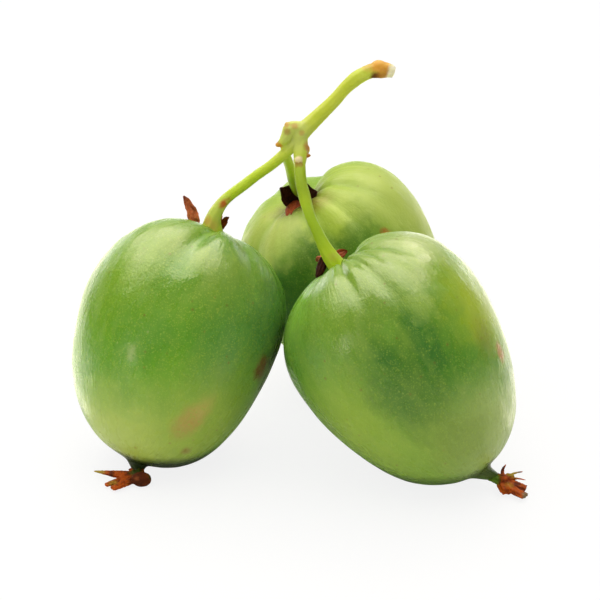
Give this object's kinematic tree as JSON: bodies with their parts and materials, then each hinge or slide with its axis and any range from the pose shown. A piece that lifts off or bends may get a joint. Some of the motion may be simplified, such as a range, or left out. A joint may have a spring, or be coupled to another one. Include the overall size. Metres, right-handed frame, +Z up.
{
  "type": "kiwi berry cluster",
  "caption": "Smooth green oval berries with dried tips, joined by slender pedicels to a cut stalk and leaning together as a tripod.",
  "frame": {"origin": "centre of the cluster's footprint, on the surface the berries rest on", "axes": "+Z up; +X along the cluster's longest side, from the left berry to the right one; +Y to the back berry"},
  "size_m": [0.0504, 0.0466, 0.0436],
  "materials": {
    "skin_left": "satin",
    "skin_right": "satin",
    "skin_back": "satin",
    "stalk": "satin",
    "sepal": "matte",
    "style": "matte"
  },
  "bodies": {
    "root": {"berry_left": "skin_left", "berry_right": "skin_right", "berry_back": "skin_back", "stalk": "stalk", "sepal_left_1": "sepal", "sepal_left_2": "sepal", "sepal_left_3": "sepal", "sepal_right_1": "sepal", "sepal_right_2": "sepal", "sepal_right_3": "sepal", "sepal_back_1": "sepal", "sepal_back_2": "sepal", "sepal_back_3": "sepal", "sepal_back_4": "sepal", "style_tuft_left": "style", "style_tuft_right": "style", "style_tuft_back": "style"}
  },
  "joints": []
}
